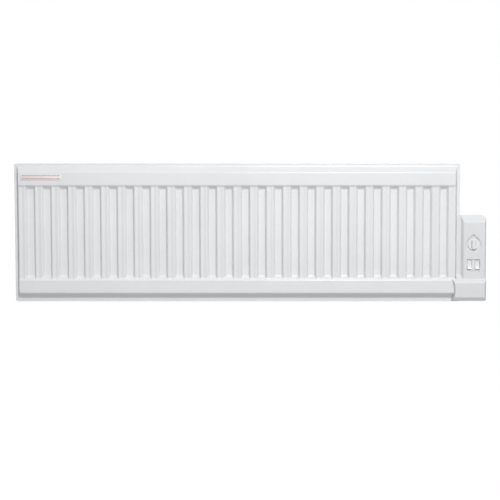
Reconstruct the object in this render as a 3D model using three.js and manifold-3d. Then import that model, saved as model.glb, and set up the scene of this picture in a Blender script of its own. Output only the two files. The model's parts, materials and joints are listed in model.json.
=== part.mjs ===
// Low wall-hung oil-filled panel heater with a control box on its right-hand end.
// Millimetres. +X right, +Z up, the front faces -Y. The wall is the plane Y = 0 and the origin lies on
// it, at the middle of the panel's length and height.

import * as THREE from 'three';
import { mergeVertices } from 'three/addons/utils/BufferGeometryUtils.js';
import { ConvexGeometry } from 'three/addons/geometries/ConvexGeometry.js';
import Module from 'manifold-3d';

const wasm = await Module();
wasm.setup();

// ---------------------------------------------------------------- driving dimensions
const GAP = 0.3;                 // clearance between neighbouring pieces
const SHEET = 1.2;               // panel sheet thickness
const PANEL_W = 967;
const PANEL_H = 300;
const SEAM_Y = -38;              // plane where the two sheets meet
const FLANGE_Z = 7.5;            // welded edge flange, top and bottom
const FLANGE_X = 6;              // welded edge flange, left and right
const HEADER_RISE = 12.8;        // header front above the flange
const HEADER_SLOPE = 11.75;      // height of the header's outer slope
const HEADER_BAND = 28.5;        // height of the header's flat face
const HEADER_INNER_SLOPE = 10.5; // height of the slope from the header down to the valleys
const HEADER_END_SLOPE = 4.5;    // length of the slope at each end of a header
const CREST_COUNT = 27;
const CREST_PITCH = 35.8;
const CREST_BASE = 22.6;
const CREST_TOP = 14.8;
const CREST_RISE = 10.4;
const CREST_DISH = 1;            // depth of the shallow channel down the middle of each crest
const DISH_TOP = 11;             // its width at the crest
const DISH_FLOOR = 2.4;          // and at its floor
const VALLEY_RISE = 3.6;
const SIDE_SLOPE = 1;            // width of the steep wall at each end of the fluted field

const HEADER_MID_Z = PANEL_H / 2 - FLANGE_Z - HEADER_SLOPE - HEADER_BAND / 2;
const NECK_R = 12.5;             // half-round neck in each sheet for the element bushing
const BUSHING_R = 11;
const BUSHING_BORE_R = 8.3;
const ELEMENT_Z = -HEADER_MID_Z;

const BOX_LEFT = 484.8;          // control box base, left wall
const COVER_LEFT = 476;          // cover, in front of the panel's edge flange
const FOOT_LEFT = 466;           // proud lower section of the cover, reaching over the lower header
const BITE_R = 62.5;             // shallow curve cut into that section's left edge
const BITE_X = 471;              // deepest point of the curve
const BOX_RIGHT = 540;
const BOX_BOTTOM = -148;
const BOX_TOP = 37.5;
const BOX_ROUND = 9;             // radius of the box's top outer corner
const BOX_BACK = -12;
const BOX_SEAM = -38.3;
const FLAP_FRONT = -46.5;         // flat strip of the cover beside the panel
const FLAP_W = 9.5;
const COVER_FRONT = -54;
const FOOT_FRONT = -60;
const FOOT_TOP = -101;
const WALL = 2.2;                // plastic wall thickness

const FACE_X = 512;              // middle of the control face
const KNOB_Z = -25;
const KNOB_R = 12.6;
const POCKET_R = 16.2;           // drop-shaped recess round the knob
const POCKET_TIP = 21.5;         // its point, above the knob's axis
const POCKET_DEPTH = 2.6;
const SWITCH_Z = -69.5;
const ROCKER_PITCH = 16.8;
const ROCKER_W = 9;
const ROCKER_H = 20;

const BRACKET_X = 300;           // wall brackets, left and right of the middle
const BRACKET_W = 40;
const STRAP_H = 22;

// ---------------------------------------------------------------- finishes
const FINISH = {
  enamel: { color: 0xe9ebee, roughness: 0.35, metalness: 0.0 },
  zinc: { color: 0xa9adb0, roughness: 0.45, metalness: 0.9 },
  steel: { color: 0x8d9093, roughness: 0.4, metalness: 1.0 },
  brass: { color: 0xb99a4e, roughness: 0.35, metalness: 1.0 },
  fibre: { color: 0x7a6a55, roughness: 0.8, metalness: 0.0 },
  plastic: { color: 0xe3e4e6, roughness: 0.45, metalness: 0.0 },
  greyPlastic: { color: 0xb4b6b9, roughness: 0.5, metalness: 0.0 },
  blackPlastic: { color: 0x2b2c2e, roughness: 0.5, metalness: 0.0 },
  rubber: { color: 0x35363a, roughness: 0.75, metalness: 0.0 },
  copper: { color: 0xb0714a, roughness: 0.35, metalness: 1.0 },
  brownWire: { color: 0x6b4226, roughness: 0.5, metalness: 0.0 },
  blueWire: { color: 0x2b4f9b, roughness: 0.5, metalness: 0.0 },
  earthWire: { color: 0x8fa32c, roughness: 0.5, metalness: 0.0 },
  label: { color: 0xf2efe9, roughness: 0.4, metalness: 0.0 },
};

const heater = new THREE.Group();
heater.name = 'baseboard_heater';

// ---------------------------------------------------------------- solid helpers
function solid(geometry) {
  const bare = geometry.clone();
  bare.deleteAttribute('normal');
  bare.deleteAttribute('uv');
  const merged = mergeVertices(bare, 1e-4);
  return new wasm.Manifold(new wasm.Mesh({
    numProp: 3,
    vertProperties: new Float32Array(merged.attributes.position.array),
    triVerts: new Uint32Array(merged.index.array),
  }));
}

function join(...solids) {
  return solids.flat().reduce((whole, next) => whole.add(next));
}

function cut(whole, ...tools) {
  return tools.flat().reduce((rest, tool) => rest.subtract(tool), whole);
}

function geometryOf(body) {
  const mesh = body.getMesh();
  const geometry = new THREE.BufferGeometry();
  geometry.setAttribute('position', new THREE.BufferAttribute(new Float32Array(mesh.vertProperties), 3));
  geometry.setIndex(new THREE.BufferAttribute(new Uint32Array(mesh.triVerts), 1));
  return geometry;
}

function add(name, body, finish) {
  const flat = geometryOf(body).toNonIndexed();
  flat.computeVertexNormals();
  const mesh = new THREE.Mesh(flat, new THREE.MeshStandardMaterial(FINISH[finish]));
  mesh.name = name;
  heater.add(mesh);
}

function box(x, y, z) {
  const geometry = new THREE.BoxGeometry(x[1] - x[0], y[1] - y[0], z[1] - z[0]);
  return solid(geometry.translate((x[0] + x[1]) / 2, (y[0] + y[1]) / 2, (z[0] + z[1]) / 2));
}

// Cylinders between two points on one axis.
function rodX(radius, x, y, z, segments = 32) {
  const geometry = new THREE.CylinderGeometry(radius, radius, x[1] - x[0], segments);
  return solid(geometry.rotateZ(Math.PI / 2).translate((x[0] + x[1]) / 2, y, z));
}

function rodY(radius, x, y, z, segments = 32) {
  const geometry = new THREE.CylinderGeometry(radius, radius, y[1] - y[0], segments);
  return solid(geometry.translate(x, (y[0] + y[1]) / 2, z));
}

function rodZ(radius, x, y, z, segments = 24) {
  const geometry = new THREE.CylinderGeometry(radius, radius, z[1] - z[0], segments);
  return solid(geometry.rotateX(Math.PI / 2).translate(x, y, (z[0] + z[1]) / 2));
}

function outline(points) {
  return new THREE.Shape(points.map(([a, b]) => new THREE.Vector2(a, b)));
}

function extrude(shape, depth) {
  return new THREE.ExtrudeGeometry(shape, { depth, bevelEnabled: false, curveSegments: 10 });
}

// A (y, z) outline run along X, an (x, y) outline run along Z, an (x, z) outline run along Y.
function prismX(points, x) {
  const turn = new THREE.Matrix4().makeBasis(
    new THREE.Vector3(0, 1, 0), new THREE.Vector3(0, 0, 1), new THREE.Vector3(1, 0, 0));
  return solid(extrude(outline(points), x[1] - x[0]).applyMatrix4(turn).translate(x[0], 0, 0));
}

function prismZ(points, z) {
  return solid(extrude(outline(points), z[1] - z[0]).translate(0, 0, z[0]));
}

function prismY(shape, y) {
  return solid(extrude(shape, y[1] - y[0]).rotateX(Math.PI / 2).translate(0, y[1], 0));
}

// Points round a rectangle in the (x, z) plane at one depth, its corners rounded.
function ring(x, z, y, radius) {
  const points = [];
  const corners = [[x[1], z[1], 0], [x[0], z[1], 1], [x[0], z[0], 2], [x[1], z[0], 3]];
  for (const [cx, cz, quarter] of corners) {
    const mx = cx === x[1] ? cx - radius : cx + radius;
    const mz = cz === z[1] ? cz - radius : cz + radius;
    for (let step = 0; step <= 5; step += 1) {
      const angle = (quarter + step / 5) * Math.PI / 2;
      points.push(new THREE.Vector3(mx + radius * Math.cos(angle), y, mz + radius * Math.sin(angle)));
    }
  }
  return points;
}

function hull(...rings) {
  return solid(new ConvexGeometry(rings.flat()));
}

// A round bar bent through a list of points.
function bentBar(points, radius, steps, sides = 12) {
  const circle = new THREE.Shape();
  circle.absarc(0, 0, radius, 0, Math.PI * 2, false);
  const path = new THREE.CatmullRomCurve3(points.map((p) => new THREE.Vector3(...p)), false, 'centripetal');
  return solid(new THREE.ExtrudeGeometry(circle, {
    steps, extrudePath: path, bevelEnabled: false, curveSegments: sides,
  }));
}

// ---------------------------------------------------------------- panel sheets
const HALF_W = PANEL_W / 2;
const HALF_H = PANEL_H / 2;
const FIELD_X = HALF_W - FLANGE_X;
const SEAT = GAP / 2;

function crestX(index) {
  return (index - (CREST_COUNT - 1) / 2) * CREST_PITCH;
}

// The pressed volume in front of the seam plane. "base" is how far the flange face stands in front of
// that plane, and "inset" shrinks the shape sideways, so that one call less another leaves a sheet.
function pressing(base, inset, neckZ, neckRadius) {
  const behind = SEAM_Y + 4;
  const at = (rise) => SEAM_Y - base - rise;
  const field = FIELD_X - inset;
  const crests = [];
  for (let index = 0; index < CREST_COUNT; index += 1) {
    const x = crestX(index);
    const foot = CREST_BASE / 2 - inset;
    const top = CREST_TOP / 2 - inset / 2;
    const shoulder = (foot + top) / 2 - 0.8;
    crests.push(prismZ([
      [x - foot, behind],
      [x - foot, at(VALLEY_RISE)],
      [x - shoulder - 0.9, at(CREST_RISE - 2.2)],
      [x - top, at(CREST_RISE)],
      [x - DISH_TOP / 2, at(CREST_RISE)],
      [x - DISH_FLOOR / 2, at(CREST_RISE - CREST_DISH)],
      [x + DISH_FLOOR / 2, at(CREST_RISE - CREST_DISH)],
      [x + DISH_TOP / 2, at(CREST_RISE)],
      [x + top, at(CREST_RISE)],
      [x + shoulder + 0.9, at(CREST_RISE - 2.2)],
      [x + foot, at(VALLEY_RISE)],
      [x + foot, behind],
    ].reverse(), [-HEADER_MID_Z, HEADER_MID_Z]));
  }
  const valleys = prismZ([
    [-field, behind],
    [-field, at(0)],
    [-field + SIDE_SLOPE, at(VALLEY_RISE)],
    [field - SIDE_SLOPE, at(VALLEY_RISE)],
    [field, at(0)],
    [field, behind],
  ].reverse(), [-HEADER_MID_Z, HEADER_MID_Z]);
  const foot = HEADER_BAND / 2 + HEADER_SLOPE - inset;
  const headers = [-1, 1].map((side) => {
    const mid = side * HEADER_MID_Z;
    const inner = HEADER_BAND / 2 + HEADER_INNER_SLOPE - inset;
    const span = side > 0 ? [mid - inner, mid + foot] : [mid - foot, mid + inner];
    const half = HEADER_BAND / 2 - inset * 0.4;
    const end = FIELD_X - HEADER_END_SLOPE - inset * 0.4;
    const flangeFace = ring([-field, field], span, at(0), 3);
    return hull(
      ring([-field, field], span, behind, 3),
      flangeFace,
      ring([-end - 2.4, end + 2.4], [mid - half - 2.4, mid + half + 2.4], at(HEADER_RISE - 1.4), 4),
      ring([-end, end], [mid - half, mid + half], at(HEADER_RISE), 4),
    );
  });
  const neck = rodX(neckRadius, [FIELD_X - HEADER_END_SLOPE, HALF_W], SEAM_Y, neckZ);
  return join(valleys, headers, crests, neck);
}

function panelSheet(neckZ) {
  const front = SEAM_Y - SEAT - SHEET;
  const corner = 4;
  const flange = hull(
    ring([-HALF_W, HALF_W], [-HALF_H, HALF_H], front, corner),
    ring([-HALF_W, HALF_W], [-HALF_H, HALF_H], SEAM_Y - SEAT, corner),
  );
  const room = box([-HALF_W - 1, HALF_W + 1], [SEAM_Y - SEAT, SEAM_Y + 40], [-HALF_H - 1, HALF_H + 1]);
  const bore = rodX(NECK_R - SHEET, [FIELD_X - HEADER_END_SLOPE - 3, HALF_W + 1], SEAM_Y, neckZ);
  const outer = join(flange, pressing(SEAT + SHEET, 0, neckZ, NECK_R));
  return cut(outer, pressing(SEAT, 0.8, neckZ, NECK_R - SHEET), bore, room);
}

const frontSheet = panelSheet(ELEMENT_Z);
const rearSheet = solid(geometryOf(panelSheet(-ELEMENT_Z)).translate(0, -SEAM_Y, 0).rotateX(Math.PI)
  .translate(0, SEAM_Y, 0));
add('front_panel_sheet', frontSheet, 'enamel');
add('rear_panel_sheet', rearSheet, 'enamel');

const HEADER_FACE = SEAM_Y - SEAT - SHEET - HEADER_RISE;
add('label_sticker', box([-468, -378], [HEADER_FACE - 0.4, HEADER_FACE - 0.1],
  [HEADER_MID_Z - 4, HEADER_MID_Z + 9]), 'label');

// ---------------------------------------------------------------- heating element in the lower header
const TUBE_R = 3.25;
const TUBE_SPREAD = 4.4;
const TUBE_END = 503;
const TUBE_BEND = -430;
const BUSHING_END = BOX_LEFT - GAP;
const WALL_IN = BOX_LEFT + WALL;
const GASKET = [WALL_IN + GAP, WALL_IN + GAP + 2];
const HEX = [GASKET[1] + GAP, GASKET[1] + GAP + 8];

add('element_bushing', cut(
  rodX(BUSHING_R, [471, BUSHING_END], SEAM_Y, ELEMENT_Z),
  rodX(BUSHING_BORE_R, [470, BUSHING_END + 1], SEAM_Y, ELEMENT_Z)), 'steel');

add('element_gasket', cut(
  rodX(12.5, GASKET, SEAM_Y, ELEMENT_Z),
  rodX(BUSHING_BORE_R, [GASKET[0] - 1, GASKET[1] + 1], SEAM_Y, ELEMENT_Z)), 'fibre');

const tubeHoles = [-1, 1].map((side) => (
  rodX(TUBE_R + GAP, [460, 520], SEAM_Y, ELEMENT_Z + side * TUBE_SPREAD, 20)));
add('element_plug', cut(join(
  rodX(BUSHING_BORE_R - GAP, [470, HEX[0] + 1], SEAM_Y, ELEMENT_Z),
  rodX(13.4, HEX, SEAM_Y, ELEMENT_Z, 6)), tubeHoles), 'brass');

const bend = new THREE.Shape();
bend.absarc(0, 0, TUBE_R, 0, Math.PI * 2, false);
const bendPath = new THREE.CatmullRomCurve3(Array.from({ length: 9 }, (_, step) => {
  const angle = Math.PI * (0.5 + step / 8);
  return new THREE.Vector3(TUBE_BEND + TUBE_SPREAD * Math.cos(angle), SEAM_Y,
    ELEMENT_Z + TUBE_SPREAD * Math.sin(angle));
}));
add('heating_element', join(
  rodX(TUBE_R, [TUBE_BEND - 0.2, TUBE_END], SEAM_Y, ELEMENT_Z + TUBE_SPREAD, 20),
  rodX(TUBE_R, [TUBE_BEND - 0.2, TUBE_END], SEAM_Y, ELEMENT_Z - TUBE_SPREAD, 20),
  solid(new THREE.ExtrudeGeometry(bend, {
    steps: 10, extrudePath: bendPath, bevelEnabled: false, curveSegments: 10,
  }))), 'copper');

for (const [side, word] of [[1, 'upper'], [-1, 'lower']]) {
  const z = ELEMENT_Z + side * TUBE_SPREAD;
  add(`element_pin_${word}`, rodX(1.4, [TUBE_END + GAP, TUBE_END + 10], SEAM_Y, z, 16), 'steel');
}

// ---------------------------------------------------------------- hanger straps and wall brackets
const STRAP_BACK = -12;
const REAR_HEADER = SEAM_Y + SEAT + SHEET + HEADER_RISE;
const STRAP_FOOT = REAR_HEADER + GAP;
const ARM_REACH = -19.5;

function strap(x, z) {
  return prismZ([
    [x - 20, STRAP_FOOT], [x - 11, STRAP_FOOT], [x - 11, STRAP_BACK - 2], [x + 11, STRAP_BACK - 2],
    [x + 11, STRAP_FOOT], [x + 20, STRAP_FOOT], [x + 20, STRAP_FOOT + 2], [x + 13, STRAP_FOOT + 2],
    [x + 13, STRAP_BACK], [x - 13, STRAP_BACK], [x - 13, STRAP_FOOT + 2], [x - 20, STRAP_FOOT + 2],
  ], [z - STRAP_H / 2, z + STRAP_H / 2]);
}

function hook(x, z) {
  const top = z - STRAP_H / 2 - GAP;
  return prismX([
    [-1, top], [-1, top - 2.5], [ARM_REACH, top - 2.5], [ARM_REACH, top + 14], [ARM_REACH + 2.5, top + 14],
    [ARM_REACH + 2.5, top],
  ].reverse(), [x - 8, x + 8]);
}

function slot(x, z) {
  const shape = new THREE.Shape();
  shape.absarc(x, z + 4, 3.5, 0, Math.PI, false);
  shape.absarc(x, z - 4, 3.5, Math.PI, Math.PI * 2, false);
  shape.closePath();
  return prismY(shape, [-4, 1]);
}

for (const [side, word] of [[-1, 'left'], [1, 'right']]) {
  const x = side * BRACKET_X;
  add(`hanger_strap_upper_${word}`, strap(x, HEADER_MID_Z), 'enamel');
  add(`hanger_strap_lower_${word}`, strap(x, -HEADER_MID_Z), 'enamel');
  const plateX = [x - BRACKET_W / 2, x + BRACKET_W / 2];
  const plate = box(plateX, [-2, 0], [-HEADER_MID_Z - 20, HEADER_MID_Z + 22]);
  const lances = [1, -1].map((level) => {
    const low = level * HEADER_MID_Z - STRAP_H / 2 - GAP;
    return box([x - 8.5, x + 8.5], [-3, 1], [low, low + 29]);
  });
  const hooks = [hook(x, HEADER_MID_Z), hook(x, -HEADER_MID_Z)];
  add(`wall_bracket_${word}`, cut(join(cut(plate, lances), hooks), slot(x, 60), slot(x, -60)), 'zinc');
}

// ---------------------------------------------------------------- control box base
const INNER_X = [WALL_IN, BOX_RIGHT - WALL];
const SCREW_SPOTS = [['upper', 529, 27, COVER_FRONT + 1], ['lower', 529, -139, FOOT_FRONT + 2]];
const GROMMET = { x: 520, z: -128, hole: 4 };

// what a round of the given radius takes off the box's top outer corner
function cornerOff(radius) {
  return cut(box([BOX_RIGHT - BOX_ROUND, BOX_RIGHT + 1], [FOOT_FRONT - 1, BOX_BACK + 1],
    [BOX_TOP - BOX_ROUND, BOX_TOP + 1]),
  rodY(radius, BOX_RIGHT - BOX_ROUND, [FOOT_FRONT - 2, BOX_BACK + 2], BOX_TOP - BOX_ROUND, 96));
}

const baseOuter = hull(
  ring([BOX_LEFT, BOX_RIGHT], [BOX_BOTTOM, BOX_TOP], BOX_SEAM, 3),
  ring([BOX_LEFT, BOX_RIGHT], [BOX_BOTTOM, BOX_TOP], BOX_BACK - 3, 3),
  ring([BOX_LEFT + 3, BOX_RIGHT - 3], [BOX_BOTTOM + 3, BOX_TOP - 3], BOX_BACK, 3),
);
const baseInner = hull(
  ring(INNER_X, [BOX_BOTTOM + WALL, BOX_TOP - WALL], BOX_SEAM - 1, 1.5),
  ring(INNER_X, [BOX_BOTTOM + WALL, BOX_TOP - WALL], BOX_BACK - WALL, 1.5),
);
const screwHoles = SCREW_SPOTS.map(([, x, z]) => rodY(1.75 + GAP, x, [-49, -8], z, 20));
const baseRoom = cut(baseInner, cornerOff(BOX_ROUND - WALL));
add('control_box_base', cut(baseOuter, baseRoom, cornerOff(BOX_ROUND), screwHoles,
  rodX(BUSHING_BORE_R, [BOX_LEFT - 1, WALL_IN + 1], SEAM_Y, ELEMENT_Z),
  rodX(2 + GAP, [BOX_LEFT - 1, WALL_IN + 1], -25, 0, 20),
  rodY(7, GROMMET.x, [-16, -10], GROMMET.z)), 'plastic');

for (const [word, x, z] of SCREW_SPOTS) {
  add(`cover_screw_${word}`, join(rodY(1.75, x, [-48, BOX_BACK + 1], z, 20),
    cut(rodY(3.5, x, [BOX_BACK + GAP, BOX_BACK + 2.8], z, 24),
      box([x - 2.4, x + 2.4], [BOX_BACK + 1.6, BOX_BACK + 4], [z - 0.5, z + 0.5]))), 'zinc');
}

// ---------------------------------------------------------------- control box cover
const LIP = SEAM_Y - SEAT - SHEET - GAP;
const FOOT_Z = [BOX_BOTTOM, FOOT_TOP];

function coverShape(shrink) {
  const front = COVER_FRONT + shrink;
  const footFront = FOOT_FRONT + shrink;
  const back = shrink > 0 ? -30 : BOX_SEAM - GAP;
  const left = COVER_LEFT + shrink;
  const right = BOX_RIGHT - shrink;
  const top = BOX_TOP - shrink;
  const bottom = BOX_BOTTOM + shrink;
  const flap = hull(
    ring([left, right], [bottom, top], back, 4),
    ring([left, right], [bottom, top], FLAP_FRONT + shrink, 4),
  );
  const raised = hull(
    ring([left + FLAP_W, right], [bottom, top], back, 4),
    ring([left + FLAP_W, right], [bottom, top], FLAP_FRONT + shrink, 4),
    ring([left + FLAP_W + 0.5, right], [bottom, top], COVER_FRONT + 7.5 + shrink * 0.4, 4),
    ring([left + FLAP_W + 4, right - 2.5], [bottom + 6, top - 13.5], front, 4),
  );
  const footLeft = FOOT_LEFT + shrink;
  const foot = hull(
    ring([footLeft, right], [bottom, FOOT_TOP - shrink], back, 3),
    ring([footLeft, right], [bottom, FOOT_TOP - shrink], COVER_FRONT + 1 + shrink, 3),
    ring([footLeft, right], [bottom, FOOT_TOP - 4 - shrink], FOOT_FRONT + 6 + shrink, 3),
    ring([footLeft + 2, right - 4.5], [bottom + 8, FOOT_TOP - 7.5 - shrink * 0.5], footFront, 3),
  );
  const biteZ = (BOX_BOTTOM + FOOT_TOP) / 2;
  const bite = rodY(BITE_R + shrink, BITE_X - BITE_R, [footFront - 1, back + 1], biteZ, 160);
  return cut(join(flap, raised, cut(foot, bite)), cornerOff(BOX_ROUND - shrink));
}

const dial = new THREE.Shape();
dial.absarc(FACE_X, KNOB_Z, POCKET_R, Math.PI * 0.68, Math.PI * 2.32, false);
dial.lineTo(FACE_X, KNOB_Z + POCKET_TIP);
dial.closePath();
const dialPocket = prismY(dial, [COVER_FRONT - 1, COVER_FRONT + POCKET_DEPTH]);
const dialBoss = rodY(POCKET_TIP + 1.2, FACE_X, [COVER_FRONT + 1, COVER_FRONT + 4.6], KNOB_Z, 48);
const posts = SCREW_SPOTS.map(([, x, z, front]) => rodY(4.2, x, [front, BOX_SEAM - GAP], z, 24));
const switchOpening = box([FACE_X - 14.3, FACE_X + 14.3], [COVER_FRONT - 1, COVER_FRONT + 6],
  [SWITCH_Z - 12, SWITCH_Z + 12]);
const roomZ = [BOX_BOTTOM - 1, BOX_TOP + 1];
const flangeRoom = box([FOOT_LEFT - 5, BOX_LEFT + WALL], [LIP, SEAM_Y + 10], roomZ);
const behindRoom = box([FOOT_LEFT - 5, BOX_RIGHT + 1], [BOX_SEAM - GAP, -20], roomZ);
const coverShell = cut(coverShape(0), coverShape(WALL));
add('control_box_cover', cut(join(coverShell, dialBoss, posts), dialPocket, switchOpening, screwHoles,
  rodY(7, FACE_X, [COVER_FRONT - 1, COVER_FRONT + 6], KNOB_Z), flangeRoom, behindRoom,
  pressing(SEAT + SHEET + GAP, -GAP, ELEMENT_Z, NECK_R + GAP)), 'plastic');

// ---------------------------------------------------------------- box support on the panel's edge
const TAB_LEFT = 478.2;
const TAB_FRONT = SEAM_Y + SEAT + SHEET + GAP;
add('box_support_tab', cut(prismZ([
  [TAB_LEFT, TAB_FRONT], [484.5, TAB_FRONT], [484.5, -16], [482.5, -16], [482.5, TAB_FRONT + 2],
  [TAB_LEFT, TAB_FRONT + 2],
], [-10, 10]), rodX(2 + GAP, [480, 487], -25, 0, 20)), 'enamel');
add('box_support_screw', join(rodX(2, [479, WALL_IN + 1], -25, 0, 20),
  cut(rodX(3.8, [WALL_IN + GAP, WALL_IN + 2.8], -25, 0, 24),
    box([WALL_IN + 1.8, WALL_IN + 4], [-27.6, -22.4], [-0.5, 0.5]))), 'zinc');

// ---------------------------------------------------------------- thermostat
const SHAFT_TIP = COVER_FRONT - 2.5;
const THERMOSTAT = [-45, -23];
const knobDisc = rodY(KNOB_R, FACE_X, [COVER_FRONT - 0.6, COVER_FRONT + POCKET_DEPTH - 0.4], KNOB_Z, 64);
const knobHub = rodY(6.6, FACE_X, [COVER_FRONT - 0.4, COVER_FRONT + 6.5], KNOB_Z, 32);
const knobGrip = hull(
  ring([FACE_X - 5.6, FACE_X + 5.6], [KNOB_Z - 11.8, KNOB_Z + 11.8], COVER_FRONT - 0.4, 4.5),
  ring([FACE_X - 3.2, FACE_X + 3.2], [KNOB_Z - 10.8, KNOB_Z + 10.8], FOOT_FRONT + 0.6, 3),
);
add('thermostat_knob', cut(join(knobDisc, knobHub, knobGrip),
  rodY(3 + GAP, FACE_X, [SHAFT_TIP - GAP, -40], KNOB_Z, 24)), 'plastic');
add('thermostat_shaft', rodY(3, FACE_X, [SHAFT_TIP, THERMOSTAT[0] - GAP], KNOB_Z, 24), 'steel');
const tabs = [-1, 1].map((side) => box([FACE_X + side * 7 - 1.5, FACE_X + side * 7 + 1.5],
  [THERMOSTAT[1] - 1, THERMOSTAT[1] + 5], [KNOB_Z - 4, KNOB_Z + 4]));
add('thermostat_body', join(
  box([FACE_X - 13, FACE_X + 13], THERMOSTAT, [KNOB_Z - 15, KNOB_Z + 15]), tabs), 'blackPlastic');
const capillary = [
  [530, -27, -89], [530, -27, -70], [530.5, -27, -50], [529.4, -27, -36], [526, -27, -30]];
add('thermostat_sensor', join(
  rodZ(2.6, 530, -27, [-118, -88], 16), bentBar(capillary, 0.9, 24, 6)), 'copper');

// ---------------------------------------------------------------- rocker switches
const ROCKER_Y = COVER_FRONT + 5;
const BEZEL_FRONT = COVER_FRONT + 1.4;
const wells = [-1, 1].map((side) => {
  const x = FACE_X + side * ROCKER_PITCH / 2;
  return join(
    box([x - ROCKER_W / 2 - GAP, x + ROCKER_W / 2 + GAP], [BEZEL_FRONT - 1, ROCKER_Y + 8],
      [SWITCH_Z - ROCKER_H / 2 - 1.2, SWITCH_Z + ROCKER_H / 2 + 0.8]),
    rodX(1.2 + GAP, [x - ROCKER_W / 2 - 1.4, x + ROCKER_W / 2 + 1.4], ROCKER_Y, SWITCH_Z, 16));
});
const spades = [-10, 0, 10].map((offset) => box([FACE_X + offset - 2.4, FACE_X + offset + 2.4],
  [-33, -25], [SWITCH_Z - 0.5, SWITCH_Z + 0.5]));
add('switch_housing', cut(join(
  box([FACE_X - 14, FACE_X + 14], [BEZEL_FRONT, ROCKER_Y + 8], [SWITCH_Z - 11.7, SWITCH_Z + 11.7]),
  box([FACE_X - 14, FACE_X + 14], [ROCKER_Y + 7.5, -32], [SWITCH_Z - 10, SWITCH_Z + 10]),
  spades), wells), 'plastic');

for (const [side, word] of [[-1, 'left'], [1, 'right']]) {
  const x = FACE_X + side * ROCKER_PITCH / 2;
  const half = ROCKER_H / 2;
  const profile = [
    [BEZEL_FRONT + 0.5, SWITCH_Z + half],
    [BEZEL_FRONT + 0.2, SWITCH_Z],
    [BEZEL_FRONT - 2.6, SWITCH_Z - half + 0.4],
    [BEZEL_FRONT - 1.6, SWITCH_Z - half],
    [ROCKER_Y + 2, SWITCH_Z - half + 1.5],
    [ROCKER_Y + 4.5, SWITCH_Z - 3],
    [ROCKER_Y + 4.5, SWITCH_Z + 3],
    [ROCKER_Y + 2, SWITCH_Z + half - 1],
  ];
  add(`rocker_${word}`, join(
    prismX(profile, [x - ROCKER_W / 2, x + ROCKER_W / 2]),
    rodX(1.2, [x - ROCKER_W / 2 - 1.1, x + ROCKER_W / 2 + 1.1], ROCKER_Y, SWITCH_Z, 16)), 'plastic');
}

// ---------------------------------------------------------------- overheat cut-out, terminals, grommet
add('overheat_cutout', join(
  rodX(8, [WALL_IN + GAP, WALL_IN + 7], -30, -92, 32),
  rodX(5.5, [WALL_IN + 6.5, WALL_IN + 9], -30, -92, 24),
  box([WALL_IN + 8.5, WALL_IN + 15], [-34.5, -33.7], [-95, -89]),
  box([WALL_IN + 8.5, WALL_IN + 15], [-26.3, -25.5], [-95, -89])), 'blackPlastic');

const BLOCK = { y: [-29, BOX_BACK - WALL - GAP], z: [-113, -99] };
const WAYS = [503.5, 512, 520.5];
add('terminal_block', cut(
  box([WAYS[0] - 4.7, WAYS[2] + 4.7], BLOCK.y, BLOCK.z),
  WAYS.map((x) => rodZ(1.9, x, -23, [BLOCK.z[0] - 1, BLOCK.z[1] + 1], 16)),
  WAYS.map((x) => rodY(2.4, x, [-31, -25.5], -106, 20))), 'greyPlastic');
add('earth_screw', join(
  rodX(2, [WALL_IN + GAP, WALL_IN + 6], -25, -138, 20),
  cut(rodX(4, [WALL_IN + 5.5, WALL_IN + 8.3], -25, -138, 24),
    box([WALL_IN + 7.3, WALL_IN + 9], [-27.8, -22.2], [-138.5, -137.5]))), 'brass');

add('cable_grommet', cut(join(
  rodY(7 - GAP, GROMMET.x, [-15, BOX_BACK + 0.5], GROMMET.z),
  rodY(9, GROMMET.x, [BOX_BACK + GAP, BOX_BACK + 3], GROMMET.z),
  rodY(8.4, GROMMET.x, [-17.2, BOX_BACK - WALL - GAP], GROMMET.z)),
rodY(GROMMET.hole, GROMMET.x, [-20, -5], GROMMET.z)), 'rubber');

// ---------------------------------------------------------------- internal wires
const WIRES = [
  ['wire_supply_to_switch', 'brownWire', [
    [503.5, -23, -98.6], [503.5, -23, -90], [500, -22.5, -80], [501.5, -23.2, -71]]],
  ['wire_switch_to_thermostat', 'brownWire', [
    [521.5, -23.4, -69.5], [522, -20, -62], [519, -17.5, -50], [518.5, -17.6, -34], [518.5, -17.8, -29.4]]],
  ['wire_thermostat_to_cutout', 'brownWire', [
    [504.5, -17.8, -29.4], [504, -17.6, -40], [498, -18.5, -60], [498, -20.5, -78], [498.6, -23.9, -87.6]]],
  ['wire_cutout_to_element', 'brownWire', [
    [497, -35.8, -96], [501, -39, -99], [507, -40.5, -103], [512.5, -38.5, -109]]],
  ['wire_neutral_to_element', 'blueWire', [
    [512, -23, -113.6], [512, -24, -120], [510.5, -30, -126.5], [512.5, -36.5, -123.6]]],
  ['wire_earth', 'earthWire', [
    [520.5, -23, -113.6], [519, -23, -119], [509, -23, -131], [501, -21.5, -136.8], [496.6, -21.6, -137]]],
];
for (const [name, finish, points] of WIRES) {
  add(name, bentBar(points, 1.1, 28, 6), finish);
}

export default heater;
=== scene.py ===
# Looks of a low wall-hung oil-filled panel heater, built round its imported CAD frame.
# Metres, with the shape functions in millimetres. +X right, +Z up, the front faces -Y, the wall is Y = 0.

import json
import math

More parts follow.
